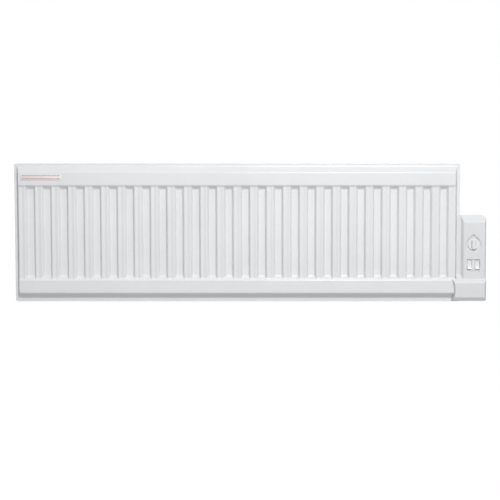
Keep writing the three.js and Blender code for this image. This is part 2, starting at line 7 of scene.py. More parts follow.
import bmesh
import bpy
import numpy as np
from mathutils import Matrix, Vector


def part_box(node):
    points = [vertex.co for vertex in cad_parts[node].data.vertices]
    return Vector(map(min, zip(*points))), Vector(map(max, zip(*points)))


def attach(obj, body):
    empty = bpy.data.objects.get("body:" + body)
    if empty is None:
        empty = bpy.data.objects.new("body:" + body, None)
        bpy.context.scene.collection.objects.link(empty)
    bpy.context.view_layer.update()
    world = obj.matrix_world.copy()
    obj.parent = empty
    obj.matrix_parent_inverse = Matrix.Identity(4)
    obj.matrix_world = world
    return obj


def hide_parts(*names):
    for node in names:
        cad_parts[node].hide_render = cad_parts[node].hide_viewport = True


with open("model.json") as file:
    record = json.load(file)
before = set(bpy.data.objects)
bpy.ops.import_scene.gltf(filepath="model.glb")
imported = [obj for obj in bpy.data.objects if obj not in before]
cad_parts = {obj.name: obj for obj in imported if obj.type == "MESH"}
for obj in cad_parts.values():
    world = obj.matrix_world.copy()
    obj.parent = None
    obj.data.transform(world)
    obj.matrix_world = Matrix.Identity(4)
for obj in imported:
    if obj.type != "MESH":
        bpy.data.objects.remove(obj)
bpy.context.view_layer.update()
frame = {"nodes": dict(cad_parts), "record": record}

MM = 0.001

# ---------------------------------------------------------------- driving dimensions, millimetres
SHEET = 1.2                   # panel sheet thickness
HEADER_BAND = 28.5            # flat face of a header
HEADER_SLOPE = 11.75          # its outer slope
HEADER_INNER_SLOPE = 10.5     # its slope down to the valleys
HEADER_END_SLOPE = 4.5
FLANGE_X = 6.0                # welded edge flange
FLANGE_Z = 7.5
CREST_PITCH = 35.8
CREST_BASE = 22.6
CREST_TOP = 14.8
CREST_RISE = 10.4
CREST_DISH = 1.0              # shallow channel down the middle of each crest
VALLEY_RISE = 3.6
FLUTE_SIDE_STEEPNESS = 5.0    # rise over run where the outermost flute meets the flange
FLUTE_END_STEEPNESS = 2.0     # and where the flutes run in under a header
FLUTE_TUCK = 3.0              # how far they run in
NECK_RADIUS = 12.5            # half-round neck round the element bushing
CORNER = 4.0

low, high = (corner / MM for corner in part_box("front_panel_sheet"))
HALF_W = high.x
HALF_H = high.z
SEAM = -high.y                # depths are distances from the wall
HEADER_RISE = -low.y - SEAM - SHEET
FIELD_X = HALF_W - FLANGE_X
HEADER_Z = HALF_H - FLANGE_Z - HEADER_SLOPE - HEADER_BAND / 2


# ---------------------------------------------------------------- node helpers
def material(name):
    made = bpy.data.materials.new(name)
    made.use_nodes = True
    tree = made.node_tree
    return made, tree, tree.nodes["Principled BSDF"]


def coordinates(tree, scale=(1, 1, 1)):
    place = tree.nodes.new("ShaderNodeTexCoord")
    mapping = tree.nodes.new("ShaderNodeMapping")
    mapping.inputs["Scale"].default_value = scale
    tree.links.new(place.outputs["Object"], mapping.inputs["Vector"])
    return mapping.outputs["Vector"]


def noise(tree, vector, scale, detail=3.0, roughness=0.55):
    node = tree.nodes.new("ShaderNodeTexNoise")
    node.inputs["Scale"].default_value = scale
    node.inputs["Detail"].default_value = detail
    node.inputs["Roughness"].default_value = roughness
    tree.links.new(vector, node.inputs["Vector"])
    return node.outputs["Fac"]


def spread(tree, value, low_to, high_to):
    node = tree.nodes.new("ShaderNodeMapRange")
    node.inputs["From Min"].default_value = 0.3
    node.inputs["From Max"].default_value = 0.7
    node.inputs["To Min"].default_value = low_to
    node.inputs["To Max"].default_value = high_to
    tree.links.new(value, node.inputs["Value"])
    return node.outputs["Result"]


def blend_colours(tree, factor, first, second):
    ramp = tree.nodes.new("ShaderNodeValToRGB")
    ramp.color_ramp.elements[0].position = 0.3
    ramp.color_ramp.elements[1].position = 0.7
    ramp.color_ramp.elements[0].color = (*first, 1)
    ramp.color_ramp.elements[1].color = (*second, 1)
    tree.links.new(factor, ramp.inputs["Fac"])
    return ramp.outputs["Color"]


def bump(tree, shader, heights, strength, distance):
    """Adds one bump after another, each (height, share of strength)."""
    normal = None
    for height, share in heights:
        node = tree.nodes.new("ShaderNodeBump")
        node.inputs["Strength"].default_value = strength * share
        node.inputs["Distance"].default_value = distance
        tree.links.new(height, node.inputs["Height"])
        if normal is not None:
            tree.links.new(normal, node.inputs["Normal"])
        normal = node.outputs["Normal"]
    tree.links.new(normal, shader.inputs["Normal"])


# ---------------------------------------------------------------- materials
def enamel():
    made, tree, shader = material("white_enamel")
    vector = coordinates(tree)
    cloud = noise(tree, vector, 9.0, 4.0)
    peel = noise(tree, vector, 420.0, 2.0)
    fine = noise(tree, vector, 1500.0, 1.0)
    tint = blend_colours(tree, cloud, (0.742, 0.746, 0.756), (0.775, 0.779, 0.787))
    tree.links.new(tint, shader.inputs["Base Color"])
    tree.links.new(spread(tree, noise(tree, vector, 35.0), 0.30, 0.42), shader.inputs["Roughness"])
    shader.inputs["Specular IOR Level"].default_value = 0.45
    shader.inputs["Coat Weight"].default_value = 0.25
    shader.inputs["Coat Roughness"].default_value = 0.22
    bump(tree, shader, [(peel, 1.0), (fine, 0.35)], 0.10, 0.0006)
    return made


def plastic(name, dark, light, roughness, grain, depth):
    made, tree, shader = material(name)
    vector = coordinates(tree)
    tint = blend_colours(tree, noise(tree, vector, 22.0, 4.0), dark, light)
    tree.links.new(tint, shader.inputs["Base Color"])
    tree.links.new(spread(tree, noise(tree, vector, 90.0), roughness - 0.05, roughness + 0.07),
                   shader.inputs["Roughness"])
    shader.inputs["Specular IOR Level"].default_value = 0.4
    heights = [(noise(tree, vector, grain, 2.0), 1.0), (noise(tree, vector, 160.0), 0.5)]
    bump(tree, shader, heights, depth, 0.0004)
    return made


def plated(name, dark, light, roughness, scale=(1, 1, 1)):
    made, tree, shader = material(name)
    vector = coordinates(tree, scale)
    spangle = tree.nodes.new("ShaderNodeTexVoronoi")
    spangle.inputs["Scale"].default_value = 260.0
    tree.links.new(vector, spangle.inputs["Vector"])
    tint = blend_colours(tree, noise(tree, vector, 70.0, 5.0), dark, light)
    tree.links.new(tint, shader.inputs["Base Color"])
    shader.inputs["Metallic"].default_value = 0.95
    tree.links.new(spread(tree, noise(tree, vector, 320.0, 4.0), roughness - 0.08, roughness + 0.12),
                   shader.inputs["Roughness"])
    bump(tree, shader, [(spangle.outputs["Distance"], 0.4), (noise(tree, vector, 900.0), 1.0)], 0.12, 0.0003)
    return made


MATERIALS = {
    "enamel": enamel(),
    "plastic": plastic("white_plastic", (0.690, 0.694, 0.702), (0.722, 0.725, 0.732), 0.42, 1600.0, 0.14),
    "knob_plastic": plastic("knob_plastic", (0.735, 0.738, 0.745), (0.768, 0.770, 0.775), 0.32, 900.0, 0.06),
    "grey_plastic": plastic("grey_plastic", (0.40, 0.41, 0.42), (0.45, 0.455, 0.465), 0.45, 1600.0, 0.12),
    "black_plastic": plastic("black_plastic", (0.018, 0.018, 0.02), (0.035, 0.035, 0.038), 0.5, 1200.0, 0.2),
    "rubber": plastic("rubber", (0.02, 0.02, 0.021), (0.04, 0.04, 0.042), 0.7, 1400.0, 0.3),
    "gasket": plastic("gasket", (0.17, 0.12, 0.08), (0.26, 0.20, 0.14), 0.8, 1100.0, 0.5),
    "brown_wire": plastic("brown_wire", (0.10, 0.045, 0.02), (0.14, 0.065, 0.03), 0.4, 900.0, 0.08),
    "blue_wire": plastic("blue_wire", (0.02, 0.06, 0.26), (0.035, 0.09, 0.34), 0.4, 900.0, 0.08),
    "earth_wire": plastic("earth_wire", (0.03, 0.22, 0.04), (0.55, 0.50, 0.05), 0.4, 900.0, 0.08),
    "label": plastic("label", (0.705, 0.680, 0.678), (0.735, 0.712, 0.708), 0.34, 700.0, 0.05),
    "zinc": plated("zinc_plate", (0.52, 0.54, 0.56), (0.66, 0.68, 0.70), 0.34),
    "steel": plated("bare_steel", (0.36, 0.36, 0.37), (0.50, 0.50, 0.51), 0.36, (1, 8, 8)),
    "brass": plated("brass", (0.62, 0.44, 0.17), (0.74, 0.56, 0.26), 0.3, (1, 6, 6)),
    "copper": plated("copper", (0.60, 0.30, 0.17), (0.74, 0.42, 0.27), 0.34, (0.2, 4, 4)),
}
RED_PRINT = plastic("red_print", (0.46, 0.10, 0.06), (0.56, 0.15, 0.10), 0.4, 700.0, 0.04)
GREY_PRINT = plastic("grey_print", (0.42, 0.43, 0.45), (0.48, 0.49, 0.50), 0.4, 700.0, 0.04)


# ---------------------------------------------------------------- mesh helpers
def smooth_min(a, b, radius):
    share = np.clip(0.5 + 0.5 * (b - a) / radius, 0, 1)
    return b * (1 - share) + a * share - radius * share * (1 - share)


def smooth_max(a, b, radius):
    return -smooth_min(-a, -b, radius)


def piece(name, points, faces, slot, body="heater", replaces=(), finish=None, sharp=40):
    """One object from points in millimetres, (x, depth from the wall, z)."""
    mesh = bpy.data.meshes.new(name)
    mesh.from_pydata([(x * MM, -depth * MM, z * MM) for x, depth, z in points], [], faces)
    shape = bmesh.new()
    shape.from_mesh(mesh)
    bmesh.ops.remove_doubles(shape, verts=shape.verts, dist=1e-6)
    bmesh.ops.recalc_face_normals(shape, faces=shape.faces)
    shape.to_mesh(mesh)
    shape.free()
    mesh.materials.append(finish or MATERIALS[slot])
    made = bpy.data.objects.new(name, mesh)
    bpy.context.scene.collection.objects.link(made)
    mesh.shade_smooth()
    mesh.set_sharp_from_angle(angle=math.radians(sharp))
    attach(made, body)
    if replaces:
        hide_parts(*replaces)
    return made


def apply_modifiers(made):
    """Leaves the evaluated mesh on the object."""
    bpy.context.view_layer.update()
    evaluated = made.evaluated_get(bpy.context.evaluated_depsgraph_get())
    fresh = bpy.data.meshes.new_from_object(evaluated)
    made.modifiers.clear()
    made.data = fresh
    return made


def thicken(made, thickness):
    shell = made.modifiers.new("thickness", "SOLIDIFY")
    shell.thickness = thickness * MM
    shell.offset = -1
    return apply_modifiers(made)


def soften(made, width, segments=2, angle=35):
    edge = made.modifiers.new("soft_edges", "BEVEL")
    edge.width = width * MM
    edge.segments = segments
    edge.limit_method = "ANGLE"
    edge.angle_limit = math.radians(angle)
    edge.harden_normals = True
    return edge


def refine(*runs):
    """Grid lines from (start, end, step) runs laid end to end."""
    lines = []
    for start, end, step in runs:
        count = max(1, round(abs(end - start) / step))
        lines.extend(np.linspace(start, end, count, endpoint=False))
    lines.append(runs[-1][1])
    return np.array(lines)


def round_corners(x, z, x_range, z_range, radius):
    """Moves the grid points near each corner of a rectangle onto a rounded one."""
    x, z = x.copy(), z.copy()
    for cx, sx in ((x_range[0] + radius, -1), (x_range[1] - radius, 1)):
        for cz, sz in ((z_range[0] + radius, -1), (z_range[1] - radius, 1)):
            u = np.clip((x - cx) * sx, 0, None)
            v = np.clip((z - cz) * sz, 0, None)
            inside = (u > 0) & (v > 0)
            length = np.where(inside, np.hypot(u, v), 1)
            share = np.where(inside, np.maximum(u, v) / length, 1)
            x = np.where(inside, cx + sx * u * share, x)
            z = np.where(inside, cz + sz * v * share, z)
    return x, z


def grid_faces(rows, columns, keep=lambda row, column: True):
    return [
        (row * columns + column, row * columns + column + 1,
         (row + 1) * columns + column + 1, (row + 1) * columns + column)
        for row in range(rows - 1) for column in range(columns - 1) if keep(row, column)
    ]


def band(lower, upper):
    """Quads between two closed loops of point numbers."""
    count = len(lower)
    return [(lower[i], lower[(i + 1) % count], upper[(i + 1) % count], upper[i]) for i in range(count)]


def loft(loops):
    """Points and faces of a closed solid through a list of same-length loops."""
    points = [point for loop in loops for point in loop]
    count = len(loops[0])
    numbers = [list(range(i * count, (i + 1) * count)) for i in range(len(loops))]
    faces = [face for a, b in zip(numbers, numbers[1:]) for face in band(a, b)]
    return points, faces + [tuple(reversed(numbers[0])), tuple(numbers[-1])]


def rounded_loop(x_mid, z_mid, half_x, half_z, radius, depth, steps=7):
    loop = []
    for quarter, (sx, sz) in enumerate(((1, 1), (-1, 1), (-1, -1), (1, -1))):
        for step in range(steps):
            angle = (quarter + step / (steps - 1)) * math.pi / 2
            loop.append((x_mid + sx * (half_x - radius) + radius * math.cos(angle), depth,
                         z_mid + sz * (half_z - radius) + radius * math.sin(angle)))
    return loop


def circle_loop(x_mid, z_mid, radius, depth, steps=72):
    angles = [2 * math.pi * step / steps for step in range(steps)]
    return [(x_mid + radius * math.cos(a), depth, z_mid + radius * math.sin(a)) for a in angles]


# ---------------------------------------------------------------- pressed panel sheets
def panel_rise(x, z, neck_z):
    """How far the pressed sheet stands off its flange."""
    across = np.abs((x / CREST_PITCH + 0.5) % 1 - 0.5) * CREST_PITCH
    wall = (CREST_RISE - VALLEY_RISE) / ((CREST_BASE - CREST_TOP) / 2)
    crest = CREST_RISE - CREST_DISH * np.exp(-(across / 3.4) ** 2)
    flutes = smooth_min((CREST_BASE / 2 - across) * wall + VALLEY_RISE, crest, 1.6)
    flutes = smooth_max(flutes, VALLEY_RISE + 0 * x, 0.8)
    flutes = smooth_min(flutes, (FIELD_X - np.abs(x)) * FLUTE_SIDE_STEEPNESS, 0.8)
    run_in = HEADER_Z - HEADER_BAND / 2 + FLUTE_TUCK - np.abs(z)
    flutes = smooth_min(flutes, run_in * FLUTE_END_STEEPNESS, 2.0)
    outer = (HEADER_Z + HEADER_BAND / 2 + HEADER_SLOPE - np.abs(z)) * HEADER_RISE / HEADER_SLOPE
    inner = (np.abs(z) - HEADER_Z + HEADER_BAND / 2 + HEADER_INNER_SLOPE) * HEADER_RISE / HEADER_INNER_SLOPE
    end = (FIELD_X - np.abs(x)) * HEADER_RISE / HEADER_END_SLOPE
    header = smooth_min(smooth_min(outer, inner, 3.0), end, 4.0)
    header = smooth_min(header, HEADER_RISE + 0 * x, 1.6)
    rise = smooth_max(header, flutes, 2.0)
    rise = smooth_max(rise, 0 * x, 1.0)
    beside = np.clip(NECK_RADIUS ** 2 - (z - neck_z) ** 2, 0, None)
    neck = np.where(x > FIELD_X - HEADER_END_SLOPE, np.sqrt(beside) - SHEET, -5)
    rise = np.maximum(rise, smooth_max(rise, neck, 1.2) - 0.3 * (neck < rise - 1.2))
    edge = np.minimum(HALF_W - np.abs(x), HALF_H - np.abs(z))
    seam_track = 0.22 * np.exp(-((edge - 3.1) / 1.1) ** 2)
    return np.clip(rise - seam_track, -0.25, HEADER_RISE)


def panel_lines():
    half = CREST_PITCH / 2
    offsets = [0, 1.6, 3.2, 4.8, 6.2, 7.2, 8.1, 9.0, 10.1, 11.0, 11.9, 13.4]
    first = -int(FIELD_X // CREST_PITCH)
    centres = [k * CREST_PITCH for k in range(first, -first + 1)]
    columns = sorted({round(c + s * o, 3) for c in centres for o in offsets for s in (-1, 1)}
                     | {round(c + half, 3) for c in centres[:-1]})
    rim = refine((FIELD_X - 0.6, HALF_W - CORNER, 1.0), (HALF_W - CORNER, HALF_W, 0.8))
    inner = [c for c in columns if abs(c) < FIELD_X - 1]
    columns = np.array(sorted([-c for c in rim] + inner + list(rim)))
    top = refine((0, 72, 12), (72, 88, 4), (88, 107, 1.5), (107, 127, 4), (127, HALF_H - CORNER, 1.3),
                 (HALF_H - CORNER, HALF_H, 0.8))
    rows = np.array(sorted({round(float(r), 3) for r in top} | {round(-float(r), 3) for r in top}))
    return columns, rows


def panel_sheet(name, node, facing):
    columns, rows = panel_lines()
    x, z = np.meshgrid(columns, rows)
    x, z = round_corners(x, z, (-HALF_W, HALF_W), (-HALF_H, HALF_H), CORNER)
    seam_middle = (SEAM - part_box("rear_panel_sheet")[0].y / MM) / 2
    depth = seam_middle + facing * (SEAM - seam_middle + SHEET + panel_rise(x, z, -HEADER_Z))
    points = list(zip(x.ravel(), depth.ravel(), z.ravel()))
    made = piece(name, points, grid_faces(len(rows), len(columns)), "enamel", replaces=[node], sharp=75)
    if sum(face.normal.y for face in made.data.polygons) * facing > 0:
        made.data.flip_normals()
    return thicken(made, SHEET - 0.05)


panel_sheet("pressed_front", "front_panel_sheet", 1)
panel_sheet("pressed_rear", "rear_panel_sheet", -1)


# ---------------------------------------------------------------- printed sticker on the upper header
MARK_GAP = 1.5                # between two printed dashes


def sticker():
    low_corner, high_corner = (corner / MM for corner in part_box("label_sticker"))
    x_mid, z_mid = (low_corner.x + high_corner.x) / 2, (low_corner.z + high_corner.z) / 2
    half_x, half_z = (high_corner.x - low_corner.x) / 2, (high_corner.z - low_corner.z) / 2
    back, front = -high_corner.y, -low_corner.y
    loops = [rounded_loop(x_mid, z_mid, half_x, half_z, 1.5, back),
             rounded_loop(x_mid, z_mid, half_x, half_z, 1.5, front - 0.12),
             rounded_loop(x_mid, z_mid, half_x - 0.12, half_z - 0.12, 1.4, front - 0.05)]
    piece("sticker_film", *loft(loops), "label", replaces=["label_sticker"])
    points, faces = [], []
    rows = ((z_mid + 4.3, [6, 4, 8, 5, 7, 4, 9, 6, 4, 7, 6]),
            (z_mid - 2.4, [5, 8, 4, 6, 6, 9, 4, 5, 7, 4, 8]))
    for z_row, lengths in rows:
        x = x_mid - (sum(lengths) + MARK_GAP * (len(lengths) - 1)) / 2
        for length in lengths:
            mark = [rounded_loop(x + length / 2, z_row, length / 2, 0.6, 0.3, depth, 3)
                    for depth in (front - 0.06, front)]
            more, more_faces = loft(mark)
            faces += [tuple(number + len(points) for number in face) for face in more_faces]
            points += more
            x += length + MARK_GAP
    piece("sticker_marks", points, faces, "label", finish=RED_PRINT)


sticker()

# ---------------------------------------------------------------- control box cover
cover_low, cover_high = (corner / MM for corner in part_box("control_box_cover"))
base_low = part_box("control_box_base")[0] / MM
knob_low, knob_high = (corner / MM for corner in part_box("thermostat_knob"))
switch_low, switch_high = (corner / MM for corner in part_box("switch_housing"))

FOOT_FRONT = -cover_low.y
COVER_FRONT = FOOT_FRONT - 6.0
COVER_SEAM = -cover_high.y
COVER_LEFT = 476.0
FLAP_FRONT = 46.5                    # flat strip of the cover beside the panel
FLAP_RIGHT = COVER_LEFT + 9.5
FOOT_LEFT = 466.0
FOOT_TOP = -101.0
BITE_RADIUS = 62.5
BITE_X = 471.0
RIGHT, TOP, BOTTOM = cover_high.x, cover_high.z, cover_low.z
BEVEL_RISE = 7.5                     # the bevels round the face, and how wide each one is
FLAP_BEVEL = 5.0
SIDE_BEVEL = 2.8
TOP_BEVEL = 13.5
EDGE_DEPTH = COVER_FRONT - BEVEL_RISE
TOP_ROUND = 9.0                      # outer top corner
KNOB_X = (knob_low.x + knob_high.x) / 2
KNOB_Z = (knob_low.z + knob_high.z) / 2
KNOB_RADIUS = (knob_high.x - knob_low.x) / 2
POCKET_RADIUS = 16.2
POCKET_TIP = 21.5
POCKET_DEPTH = 2.6
PATCH_X = (KNOB_X - 21, KNOB_X + 21)
PATCH_Z = (KNOB_Z - 24, KNOB_Z + 24)
SWITCH_X = (switch_low.x - 0.3, switch_high.x + 0.3)
SWITCH_Z = (switch_low.z - 0.3, switch_high.z + 0.3)


def cover_left_edge(z):
    share = np.clip((FOOT_TOP + 2 - z) / 3, 0, 1)
    share = share * share * (3 - 2 * share)
    middle = (BOTTOM + FOOT_TOP) / 2
    bite = BITE_X - BITE_RADIUS + np.sqrt(np.clip(BITE_RADIUS ** 2 - (z - middle) ** 2, 0, None))
    return COVER_LEFT * (1 - share) + np.maximum(FOOT_LEFT, bite) * share


def cover_depth(x, z):
    left = cover_left_edge(z)
    upper = FLAP_FRONT + (x - FLAP_RIGHT) * BEVEL_RISE / FLAP_BEVEL
    upper = smooth_min(upper, COVER_FRONT + 0 * x, 1.6)
    upper = smooth_min(upper, EDGE_DEPTH + (RIGHT - x) * BEVEL_RISE / SIDE_BEVEL, 2.0)
    upper = smooth_min(upper, EDGE_DEPTH + (TOP - z) * BEVEL_RISE / TOP_BEVEL, 1.6)
    upper = smooth_max(upper, FLAP_FRONT + 0 * x, 1.6)
    foot = COVER_FRONT - 1.4 + (FOOT_TOP + 1.0 - z) * 7.4 / 7.5
    foot = smooth_min(foot, FOOT_FRONT + 0 * x, 2.0)
    foot = smooth_min(foot, COVER_FRONT + (x - left) * 3.2, 1.6)
    foot = smooth_min(foot, COVER_FRONT + (RIGHT - x) * 1.35, 1.2)
    foot = smooth_min(foot, COVER_FRONT + (z - BOTTOM) * 6 / 8, 1.6)
    return np.minimum(smooth_max(upper, foot, 2.4), FOOT_FRONT)


def round_corner(x, z, corner_x, corner_z, sx, sz, radius):
    u = (x - corner_x) * sx + radius
    v = (z - corner_z) * sz + radius
    inside = (u > 0) & (v > 0)
    share = np.where(inside, np.maximum(u, v) / np.where(inside, np.hypot(u, v), 1), 1)
    return (np.where(inside, corner_x - sx * radius + sx * u * share, x),
            np.where(inside, corner_z - sz * radius + sz * v * share, z))


def pocket_edge(angle):
    """Radius of the drop-shaped recess: a circle with a pointed tip straight up."""
    half = math.acos(POCKET_RADIUS / POCKET_TIP)
    off = abs((angle - math.pi / 2 + math.pi) % (2 * math.pi) - math.pi)
    return POCKET_RADIUS / math.cos(half - off) if off < half else POCKET_RADIUS


def perimeter(rows, columns, row_span, column_span):
    """Grid point numbers round a rectangle of the grid, anticlockwise."""
    (r0, r1), (c0, c1) = row_span, column_span
    loop = [r0 * columns + c for c in range(c0, c1)]
    loop += [r * columns + c1 for r in range(r0, r1)]
    loop += [r1 * columns + c for c in range(c1, c0, -1)]
    return loop + [r * columns + c0 for r in range(r1, r0, -1)]


def cover():
    columns = refine((FOOT_LEFT, FOOT_LEFT + 4, 0.7), (FOOT_LEFT + 4, 488, 1.2), (488, PATCH_X[0], 1.3),
                     (PATCH_X[0], SWITCH_X[0], 1.2), (SWITCH_X[0], KNOB_X, 1.1), (KNOB_X, SWITCH_X[1], 1.1),
                     (SWITCH_X[1], PATCH_X[1], 1.2), (PATCH_X[1], RIGHT - 3, 0.8), (RIGHT - 3, RIGHT, 0.45))
    rows = refine((BOTTOM, BOTTOM + 10, 0.8), (BOTTOM + 10, -113, 2.4), (-113, FOOT_TOP + 4, 0.7),
                  (FOOT_TOP + 4, SWITCH_Z[0], 2.2), (SWITCH_Z[0], SWITCH_Z[1], 1.6),
                  (SWITCH_Z[1], PATCH_Z[0], 1.6),
                  (PATCH_Z[0], PATCH_Z[1], 1.2), (PATCH_Z[1], TOP - 14, 1.8), (TOP - 14, TOP, 0.8))
    flat_x, z = np.meshgrid(columns, rows)
    left = cover_left_edge(z)
    bend_x = 488.0
    x = np.where(flat_x < bend_x, bend_x - (bend_x - flat_x) * (bend_x - left) / (bend_x - FOOT_LEFT), flat_x)
    x, z = round_corner(x, z, RIGHT, TOP, 1, 1, TOP_ROUND)
    x, z = round_corner(x, z, COVER_LEFT, TOP, -1, 1, 4.0)
    x, z = round_corner(x, z, RIGHT, BOTTOM, 1, -1, 3.5)
    x, z = round_corner(x, z, FOOT_LEFT, BOTTOM, -1, -1, 2.0)
    depth = cover_depth(x, z)
    points = list(zip(x.ravel(), depth.ravel(), z.ravel()))
    n_rows, n_columns = len(rows), len(columns)

    def span(lines, limits):
        return int(np.argmin(abs(lines - limits[0]))), int(np.argmin(abs(lines - limits[1])))

    holes = [(span(rows, PATCH_Z), span(columns, PATCH_X)), (span(rows, SWITCH_Z), span(columns, SWITCH_X))]

    def kept(row, column):
        return not any(r[0] <= row < r[1] and c[0] <= column < c[1] for r, c in holes)

    faces = grid_faces(n_rows, n_columns, kept)

    # the drop-shaped recess for the knob, in rings from the square patch inwards
    loop = perimeter(n_rows, n_columns, *holes[0])
    start = [points[number] for number in loop]
    angles = [math.atan2(p[2] - KNOB_Z, p[0] - KNOB_X) for p in start]
    edges = [pocket_edge(a) for a in angles]
    steps = [(share, 0.9, 0.0) for share in (0.3, 0.6, 0.85)]
    steps += [(1, 0.9, 0.0), (1, 0.45, 0.06), (1, 0.15, 0.25), (1, 0.0, 0.6), (1, -0.15, POCKET_DEPTH - 0.3),
              (1, -0.5, POCKET_DEPTH - 0.05)]
    for share, grow, sunk in steps:
        ring = []
        for p, a, edge in zip(start, angles, edges):
            reach = math.hypot(p[0] - KNOB_X, p[2] - KNOB_Z) * (1 - share) + (edge + grow) * share
            surface = p[1] * (1 - share) + COVER_FRONT * share
            ring.append((KNOB_X + reach * math.cos(a), surface - sunk, KNOB_Z + reach * math.sin(a)))
        fresh = list(range(len(points), len(points) + len(ring)))
        points += ring
        faces += band(loop, fresh)
        loop = fresh
    for radius, sunk in ((12.0, POCKET_DEPTH), (7.0, POCKET_DEPTH), (7.0, POCKET_DEPTH + 1.4)):
        fresh = list(range(len(points), len(points) + len(loop)))
        points += [(KNOB_X + radius * math.cos(a), COVER_FRONT - sunk, KNOB_Z + radius * math.sin(a))
                   for a in angles]
        faces += band(loop, fresh)
        loop = fresh

    # side walls, back to the seam with the base, or to the panel sheet where they lie over it
    rim = perimeter(n_rows, n_columns, (0, n_rows - 1), (0, n_columns - 1))
    over_panel = [panel_rise(np.array(points[n][0]), np.array(points[n][2]), -HEADER_Z) for n in rim]
    backs = [COVER_SEAM if points[n][0] > base_low.x else SEAM + SHEET + 0.35 + max(0.0, float(rise))
             for n, rise in zip(rim, over_panel)]
    previous = rim
    for share in (0.5, 1.0):
        fresh = list(range(len(points), len(points) + len(rim)))
        points += [(points[n][0], points[n][1] * (1 - share) + back * share, points[n][2])
                   for n, back in zip(rim, backs)]
        faces += band(fresh, previous)
        previous = fresh
    made = piece("box_cover", points, faces, "plastic", replaces=["control_box_cover"], sharp=50)
    if sum(face.normal.y * face.area for face in made.data.polygons) > 0:
        made.data.flip_normals()
    thicken(made, 2.0)
    soften(made, 0.35, 2, 50)
    return made


cover()


# ---------------------------------------------------------------- knob and rockers
def knob():
    back, front = -knob_high.y, -knob_low.y
    disc_back, disc_front = COVER_FRONT - POCKET_DEPTH + 0.4, COVER_FRONT + 0.6
    hub, bore = 6.6, 3.3
    profile = [(bore, back), (hub, back), (hub, disc_back), (KNOB_RADIUS - 0.5, disc_back),
               (KNOB_RADIUS, disc_back + 0.5), (KNOB_RADIUS, disc_front - 0.9),
               (KNOB_RADIUS - 0.25, disc_front - 0.3), (KNOB_RADIUS - 0.9, disc_front),
               (KNOB_RADIUS - 2.6, disc_front - 0.35), (8.0, disc_front - 0.45),
               (2.0, disc_front - 0.45)]
    points, faces = loft([circle_loop(KNOB_X, KNOB_Z, radius, depth) for radius, depth in profile])
    disc = piece("knob_disc", points, faces, "knob_plastic", "knob")
    rows = [(5.6, 11.8, 4.6, disc_front - 1.6), (5.6, 11.8, 4.6, disc_front - 0.4),
            (5.1, 11.5, 4.2, disc_front + 0.3),
            (3.7, 10.9, 3.2, front - 1.2), (3.3, 10.6, 2.9, front - 0.5), (2.7, 10.1, 2.4, front - 0.1),
            (1.8, 9.2, 1.6, front)]
    loops = [rounded_loop(KNOB_X, KNOB_Z, hx, hz, r, depth, 9) for hx, hz, r, depth in rows]
    grip = piece("knob_grip", *loft(loops), "knob_plastic", "knob")
    union = disc.modifiers.new("grip", "BOOLEAN")
    union.object = grip
    union.operation = "UNION"
    union.solver = "EXACT"
    apply_modifiers(disc)
    bpy.data.objects.remove(grip)
    disc.name = "knob_moulding"
    disc.data.set_sharp_from_angle(angle=math.radians(40))
    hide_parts("thermostat_knob")
    soften(disc, 0.3, 2, 45)


def rocker(side):
    node = f"rocker_{side}"
    low_corner, high_corner = (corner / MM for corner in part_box(node))
    x_mid, z_mid = (low_corner.x + high_corner.x) / 2, (low_corner.z + high_corner.z) / 2
    half_x, half_z = 4.5, (high_corner.z - low_corner.z) / 2
    face = -low_corner.y - 2.6
    pivot = COVER_FRONT - 5.0
    outline = [(face - 0.5, half_z), (face - 0.25, half_z * 0.5), (face - 0.2, 0),
               (face + 0.9, -half_z * 0.45), (face + 2.6, -half_z + 0.4), (face + 1.6, -half_z),
               (pivot - 2, -half_z + 1.5), (pivot - 4.5, -3),
               (pivot - 4.5, 3), (pivot - 2, half_z - 1)]
    loops = [[(x, depth, z_mid + z) for depth, z in outline] for x in (x_mid - half_x, x_mid + half_x)]
    made = piece(f"rocker_cap_{side}", *loft(loops), "knob_plastic", node, replaces=[node], sharp=35)
    pins = piece(f"rocker_pins_{side}", *loft([
        [(x, pivot + 1.2 * math.cos(a), z_mid + 1.2 * math.sin(a))
         for a in np.linspace(0, 2 * math.pi, 20, False)]
        for x in (low_corner.x, high_corner.x)]), "knob_plastic", node)
    union = made.modifiers.new("pins", "BOOLEAN")
    union.object = pins
    union.operation = "UNION"
    union.solver = "EXACT"
    apply_modifiers(made)
    bpy.data.objects.remove(pins)
    soften(made, 0.45, 3, 30)


def dial_marks():
    """Plain ticks round the recess, and one beside each end of the rockers."""
    points, faces = [], []

    def tick(x, z, angle, length, width):
        along = (math.cos(angle), math.sin(angle))
        loop = [(x + along[0] * u - along[1] * v, z + along[1] * u + along[0] * v)
                for u, v in ((-length, -width), (length, -width), (length, width), (-length, width))]
        more, more_faces = loft([[(px, depth, pz) for px, pz in loop]
                                 for depth in (COVER_FRONT - 0.1, COVER_FRONT + 0.05)])
        faces.extend(tuple(number + len(points) for number in face) for face in more_faces)
        points.extend(more)

    for step in range(-4, 5):
        if step == 0:
            continue
        angle = math.pi / 2 - math.radians(step * 33.75)
        reach = POCKET_RADIUS + 3.0
        length = 0.5 + 0.12 * (step + 4)
        tick(KNOB_X + reach * math.cos(angle), KNOB_Z + reach * math.sin(angle), angle, length, 0.22)
    for z in (switch_high.z - 3.5, (switch_low.z + switch_high.z) / 2, switch_low.z + 3.5):
        tick(switch_low.x - 4.4, z, 0, 1.5, 0.2)
    piece("dial_marks", points, faces, "plastic", finish=GREY_PRINT)


knob()
rocker("left")
rocker("right")
dial_marks()

